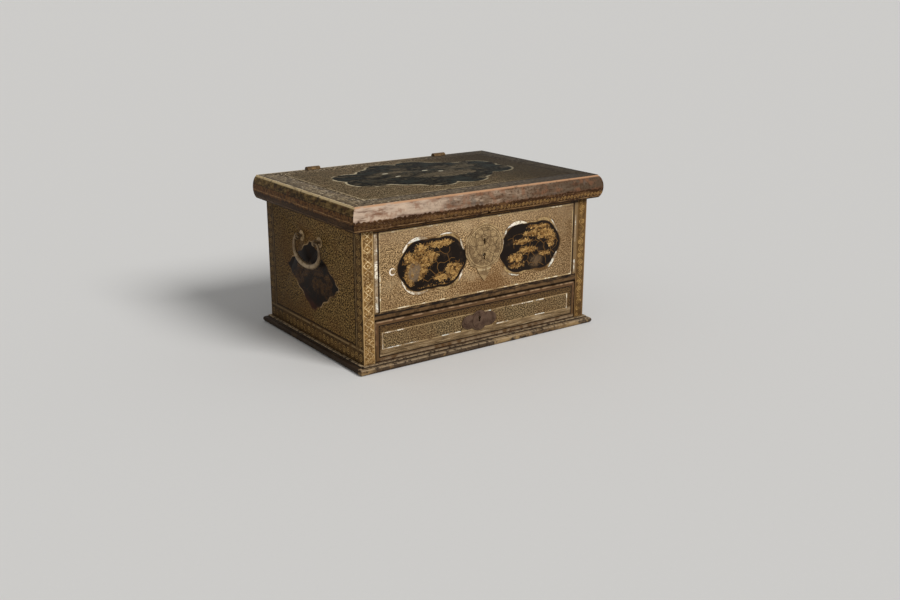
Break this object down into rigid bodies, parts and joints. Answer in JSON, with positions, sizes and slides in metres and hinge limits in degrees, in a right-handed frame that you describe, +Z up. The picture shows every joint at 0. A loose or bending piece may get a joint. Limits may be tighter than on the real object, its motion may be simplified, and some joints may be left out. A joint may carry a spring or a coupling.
{
  "type": "lacquer chest",
  "caption": "Rectangular lacquered wooden chest with a hinged moulded lid, a drawer below, lock plates and swinging side handles.",
  "frame": {"origin": "middle of the footprint, on the surface the chest stands on", "axes": "+Z up, -Y out of the front with the drawer, +X to the right seen from the front"},
  "size_m": [0.495, 0.3465, 0.2692],
  "materials": {
    "speckled_lacquer": "speckled ray-skin lacquer with gold borders, satin, worn",
    "black_lacquer": "black lacquer, satin",
    "lid_edge_lacquer": "worn brown lacquer, satin",
    "lid_top_lacquer": "worn olive-brown lacquer with a black reserve",
    "plinth_lacquer": "worn dark brown lacquer",
    "inner_lacquer": "plain dark brown lacquer",
    "gilt_copper": "dulled gilt copper, engraved",
    "dark_iron_plate": "dark brown patinated iron",
    "handle_metal": "grey-brown patinated copper alloy",
    "lock_iron": "oiled iron"
  },
  "bodies": {
    "root": {"base_board": "inner_lacquer", "left_side_board": "speckled_lacquer", "right_side_board": "speckled_lacquer", "front_board": "speckled_lacquer", "chest_floor": "black_lacquer", "back_board": "black_lacquer", "drawer_stop_left": "inner_lacquer", "drawer_stop_right": "inner_lacquer", "plinth_right": "plinth_lacquer", "plinth_back": "plinth_lacquer", "plinth_left": "plinth_lacquer", "plinth_front": "plinth_lacquer", "chest_lock_plate": "gilt_copper", "chest_lock_case": "lock_iron", "chest_lock_spring": "lock_iron", "chest_lock_key_pin": "lock_iron", "left_hinge_body_leaf": "gilt_copper", "left_hinge_pin": "handle_metal", "left_front_rosette": "gilt_copper", "left_front_eye": "handle_metal", "left_back_rosette": "gilt_copper", "left_back_eye": "handle_metal", "right_hinge_body_leaf": "gilt_copper", "right_hinge_pin": "handle_metal", "right_front_rosette": "gilt_copper", "right_front_eye": "handle_metal", "right_back_rosette": "gilt_copper", "right_back_eye": "handle_metal"},
    "lid": {"lid_rail_right": "lid_edge_lacquer", "lid_rail_back": "lid_edge_lacquer", "lid_rail_left": "lid_edge_lacquer", "lid_rail_front": "lid_edge_lacquer", "lid_panel": "lid_top_lacquer", "left_hinge_lid_leaf": "gilt_copper", "right_hinge_lid_leaf": "gilt_copper"},
    "drawer": {"drawer_front": "speckled_lacquer", "drawer_left": "inner_lacquer", "drawer_right": "inner_lacquer", "drawer_back": "inner_lacquer", "drawer_bottom": "inner_lacquer", "drawer_lock_plate": "dark_iron_plate", "drawer_lock_case": "lock_iron", "drawer_lock_spring": "lock_iron", "drawer_lock_key_pin": "lock_iron"},
    "chest_lock_bolt": {"chest_lock_bolt": "lock_iron"},
    "drawer_lock_bolt": {"drawer_lock_bolt": "lock_iron"},
    "left_bail": {"left_bail": "handle_metal"},
    "right_bail": {"right_bail": "handle_metal"}
  },
  "joints": [
    {"name": "lid_hinge", "type": "hinge", "parent": "root", "child": "lid", "pos_m": [0, 0.1628, 0.22465], "axis": [-1, 0, 0], "range_deg": [0, 175]},
    {"name": "drawer_slide", "type": "slide", "parent": "root", "child": "drawer", "axis": [0, -1, 0], "range_m": [0, 0.23]},
    {"name": "left_bail_swing", "type": "hinge", "parent": "root", "child": "left_bail", "pos_m": [-0.234, 0, 0.1812], "axis": [0, 1, 0], "range_deg": [-5, 160]},
    {"name": "right_bail_swing", "type": "hinge", "parent": "root", "child": "right_bail", "pos_m": [0.234, 0, 0.1812], "axis": [0, -1, 0], "range_deg": [-5, 160]},
    {"name": "chest_lock_throw", "type": "slide", "parent": "root", "child": "chest_lock_bolt", "axis": [-1, 0, 0], "range_m": [0, 0.01]},
    {"name": "drawer_lock_throw", "type": "slide", "parent": "drawer", "child": "drawer_lock_bolt", "axis": [0, 0, 1], "range_m": [0, 0.008]}
  ]
}
